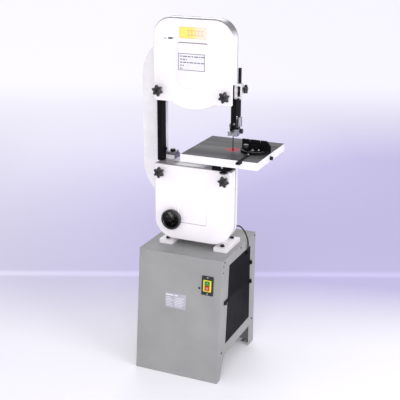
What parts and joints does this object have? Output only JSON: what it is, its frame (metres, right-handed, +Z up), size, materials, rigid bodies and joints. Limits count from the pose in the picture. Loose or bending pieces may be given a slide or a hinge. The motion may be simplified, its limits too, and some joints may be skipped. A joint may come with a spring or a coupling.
{
  "type": "band saw",
  "caption": "Cast-frame wood band saw on a folded sheet steel stand, with enclosed wheels, a tilting table, a mitre gauge and an adjustable blade guide.",
  "frame": {"origin": "middle of the four floor bolt holes, on the floor under the stand", "axes": "+X to the operator's right, +Y away from the operator in the direction of feed, +Z up"},
  "size_m": [0.6644, 0.495, 1.688],
  "materials": {
    "stand_paint": "grey powder coat",
    "white_enamel": "gloss white enamel over cast iron",
    "white_cover": "gloss white enamel on pressed sheet",
    "black_paint": "satin black paint",
    "black_plastic": "moulded black phenolic",
    "black_oxide": "blackened steel",
    "bright_steel": "machined bright",
    "blade_steel": "rolled spring steel",
    "ground_iron": "ground top, painted rim",
    "wheel_iron": "cast and turned",
    "tyre_rubber": "moulded rubber",
    "belt_rubber": "cloth faced rubber",
    "red_plastic": "moulded",
    "green_plastic": "moulded",
    "coral_plastic": "moulded insert",
    "label_film": "printed film",
    "motor_paint": "hammered enamel",
    "spring_steel": "oiled"
  },
  "bodies": {
    "stand_and_frame": {"stand_front": "stand_paint", "stand_back": "stand_paint", "stand_left": "stand_paint", "stand_right": "stand_paint", "stand_top": "stand_paint", "stand_screws": "black_oxide", "motor_shelf": "stand_paint", "motor": "motor_paint", "drive_belt": "belt_rubber", "lower_bearings": "bright_steel", "lower_frame": "white_enamel", "frame_bolts": "black_oxide", "upper_frame": "white_enamel", "tension_spring": "spring_steel", "blade": "blade_steel", "return_guard": "black_paint", "lower_guide": "bright_steel", "table_bracket": "black_paint", "switch_plate": "black_plastic", "lead_glands": "black_plastic", "lead": "belt_rubber", "lower_cover": "white_cover", "dust_port": "black_plastic"},
    "upper_cover": {"upper_cover": "white_cover", "cover_labels": "label_film"},
    "cover_knob_1": {"cover_knob_1": "black_plastic"},
    "cover_knob_2": {"cover_knob_2": "black_plastic"},
    "cover_knob_3": {"cover_knob_3": "black_plastic"},
    "cover_knob_4": {"cover_knob_4": "black_plastic"},
    "wheel_slide": {"wheel_slide": "wheel_iron"},
    "wheel_hinge": {"wheel_hinge": "bright_steel"},
    "tracking_knob": {"tracking_knob": "black_plastic"},
    "tension_screw": {"tension_screw": "black_oxide"},
    "upper_wheel": {"upper_wheel": "wheel_iron", "upper_tyre": "tyre_rubber"},
    "lower_wheel": {"lower_wheel": "wheel_iron", "lower_tyre": "tyre_rubber", "lower_shaft": "bright_steel", "driven_pulley": "bright_steel"},
    "motor_pulley": {"motor_pulley": "bright_steel"},
    "guide_post": {"guide_post": "black_oxide", "blade_guard": "black_paint", "upper_guide": "black_oxide"},
    "post_lock_knob": {"post_lock_knob": "black_plastic"},
    "upper_thrust_bearing": {"upper_thrust_bearing": "bright_steel"},
    "guide_knob": {"guide_knob": "black_plastic"},
    "lower_thrust_bearing": {"lower_thrust_bearing": "bright_steel"},
    "table": {"table": "ground_iron", "table_insert": "coral_plastic", "trunnions": "black_paint"},
    "table_pin": {"table_pin": "black_oxide"},
    "tilt_lock_1": {"tilt_lock_1": "black_plastic"},
    "tilt_lock_2": {"tilt_lock_2": "black_plastic"},
    "mitre_bar": {"mitre_bar": "black_oxide"},
    "mitre_head": {"mitre_head": "black_paint"},
    "mitre_knob": {"mitre_knob": "black_plastic"},
    "green_button": {"green_button": "green_plastic"},
    "red_button": {"red_button": "red_plastic"},
    "side_door": {"side_door": "black_paint"},
    "side_door_knob": {"side_door_knob": "black_plastic"}
  },
  "joints": [
    {"name": "upper_cover_lift_off", "type": "slide", "parent": "stand_and_frame", "child": "upper_cover", "axis": [0, -1, 0], "range_m": [0, 0.25]},
    {"name": "cover_knob_1_turn", "type": "hinge", "parent": "upper_cover", "child": "cover_knob_1", "pos_m": [-0.153, -0.1, 1.356], "axis": [0, 1, 0], "continuous": true},
    {"name": "cover_knob_2_turn", "type": "hinge", "parent": "upper_cover", "child": "cover_knob_2", "pos_m": [0.175, -0.1, 1.351], "axis": [0, 1, 0], "continuous": true},
    {"name": "cover_knob_3_turn", "type": "hinge", "parent": "stand_and_frame", "child": "cover_knob_3", "pos_m": [-0.15, -0.1, 0.966], "axis": [0, 1, 0], "continuous": true},
    {"name": "cover_knob_4_turn", "type": "hinge", "parent": "stand_and_frame", "child": "cover_knob_4", "pos_m": [0.1775, -0.1, 0.96], "axis": [0, 1, 0], "continuous": true},
    {"name": "wheel_slide_move", "type": "slide", "parent": "stand_and_frame", "child": "wheel_slide", "axis": [0, 0, 1], "range_m": [-0.012, 0], "deforming": ["tension_spring"]},
    {"name": "upper_wheel_tracking", "type": "hinge", "parent": "wheel_slide", "child": "wheel_hinge", "pos_m": [0.0105, 0.024, 1.509], "axis": [1, 0, 0], "range_deg": [0, 2]},
    {"name": "tracking_knob_turn", "type": "hinge", "parent": "wheel_slide", "child": "tracking_knob", "pos_m": [0.0105, 0.05, 1.444], "axis": [0, 1, 0], "range_deg": [-1, 721]},
    {"name": "tension_screw_turn", "type": "hinge", "parent": "stand_and_frame", "child": "tension_screw", "pos_m": [0.0105, 0.03, 1.639], "axis": [0, 0, 1], "range_deg": [-2161, 1]},
    {"name": "upper_wheel_spin", "type": "hinge", "parent": "wheel_hinge", "child": "upper_wheel", "pos_m": [0.0105, -0.02, 1.487], "axis": [0, 1, 0], "continuous": true},
    {"name": "lower_wheel_spin", "type": "hinge", "parent": "stand_and_frame", "child": "lower_wheel", "pos_m": [0.0105, -0.02, 0.822], "axis": [0, 1, 0], "continuous": true},
    {"name": "motor_pulley_spin", "type": "hinge", "parent": "stand_and_frame", "child": "motor_pulley", "pos_m": [0.038, 0.084, 0.257], "axis": [0, 1, 0], "continuous": true},
    {"name": "guide_post_slide", "type": "slide", "parent": "stand_and_frame", "child": "guide_post", "axis": [0, 0, 1], "range_m": [-0.05, 0.045]},
    {"name": "post_lock_knob_turn", "type": "hinge", "parent": "stand_and_frame", "child": "post_lock_knob", "pos_m": [0.221, 0.022, 1.371], "axis": [1, 0, 0], "continuous": true},
    {"name": "upper_thrust_bearing_spin", "type": "hinge", "parent": "guide_post", "child": "upper_thrust_bearing", "pos_m": [0.1774, 0, 1.203], "axis": [0, 1, 0], "continuous": true},
    {"name": "guide_knob_turn", "type": "hinge", "parent": "guide_post", "child": "guide_knob", "pos_m": [0.2184, -0.017, 1.1855], "axis": [1, 0, 0], "continuous": true},
    {"name": "lower_thrust_bearing_spin", "type": "hinge", "parent": "stand_and_frame", "child": "lower_thrust_bearing", "pos_m": [0.1774, 0, 1.021], "axis": [0, 1, 0], "continuous": true},
    {"name": "table_tilt", "type": "hinge", "parent": "stand_and_frame", "child": "table", "pos_m": [0.1884, 0, 1.095], "axis": [0, 1, 0], "range_deg": [-10, 45]},
    {"name": "table_pin_pull", "type": "slide", "parent": "table", "child": "table_pin", "axis": [1, 0, 0], "range_m": [0, 0.034]},
    {"name": "tilt_lock_1_turn", "type": "hinge", "parent": "stand_and_frame", "child": "tilt_lock_1", "pos_m": [0.1794, -0.106, 1], "axis": [0, 0, 1], "continuous": true},
    {"name": "tilt_lock_2_turn", "type": "hinge", "parent": "stand_and_frame", "child": "tilt_lock_2", "pos_m": [0.1794, 0.056, 1], "axis": [0, 0, 1], "continuous": true},
    {"name": "mitre_gauge_slide", "type": "slide", "parent": "table", "child": "mitre_bar", "axis": [0, 1, 0], "range_m": [-0.15, 0.15]},
    {"name": "mitre_head_swing", "type": "hinge", "parent": "mitre_bar", "child": "mitre_head", "pos_m": [0.2894, 0, 1.095], "axis": [0, 0, 1], "range_deg": [-60, 60]},
    {"name": "mitre_knob_turn", "type": "hinge", "parent": "mitre_head", "child": "mitre_knob", "pos_m": [0.2554, -0.024, 1.115], "axis": [0, 0, 1], "continuous": true},
    {"name": "green_button_press", "type": "slide", "parent": "stand_and_frame", "child": "green_button", "axis": [0, 0.995, -0.1002], "range_m": [0, 0.003], "stiffness_N_per_m": 300, "springref_m": -0.001},
    {"name": "red_button_press", "type": "slide", "parent": "stand_and_frame", "child": "red_button", "axis": [0, 0.995, -0.1002], "range_m": [0, 0.003], "stiffness_N_per_m": 300, "springref_m": -0.001},
    {"name": "side_door_swing", "type": "hinge", "parent": "stand_and_frame", "child": "side_door", "pos_m": [0.22, 0.1805, 0.4], "axis": [0, 0, 1], "range_deg": [0, 110]},
    {"name": "side_door_knob_turn", "type": "hinge", "parent": "side_door", "child": "side_door_knob", "pos_m": [0.22, -0.15965, 0.386], "axis": [1, 0, 0], "continuous": true}
  ],
  "couplings": [
    {"joint": "upper_wheel_spin", "follows": "lower_wheel_spin", "ratio": 1},
    {"joint": "motor_pulley_spin", "follows": "lower_wheel_spin", "ratio": 3.1481},
    {"joint": "tension_screw_turn", "follows": "wheel_slide_move", "rad_per_m": 3141.6},
    {"joint": "tracking_knob_turn", "follows": "upper_wheel_tracking", "ratio": 360}
  ]
}
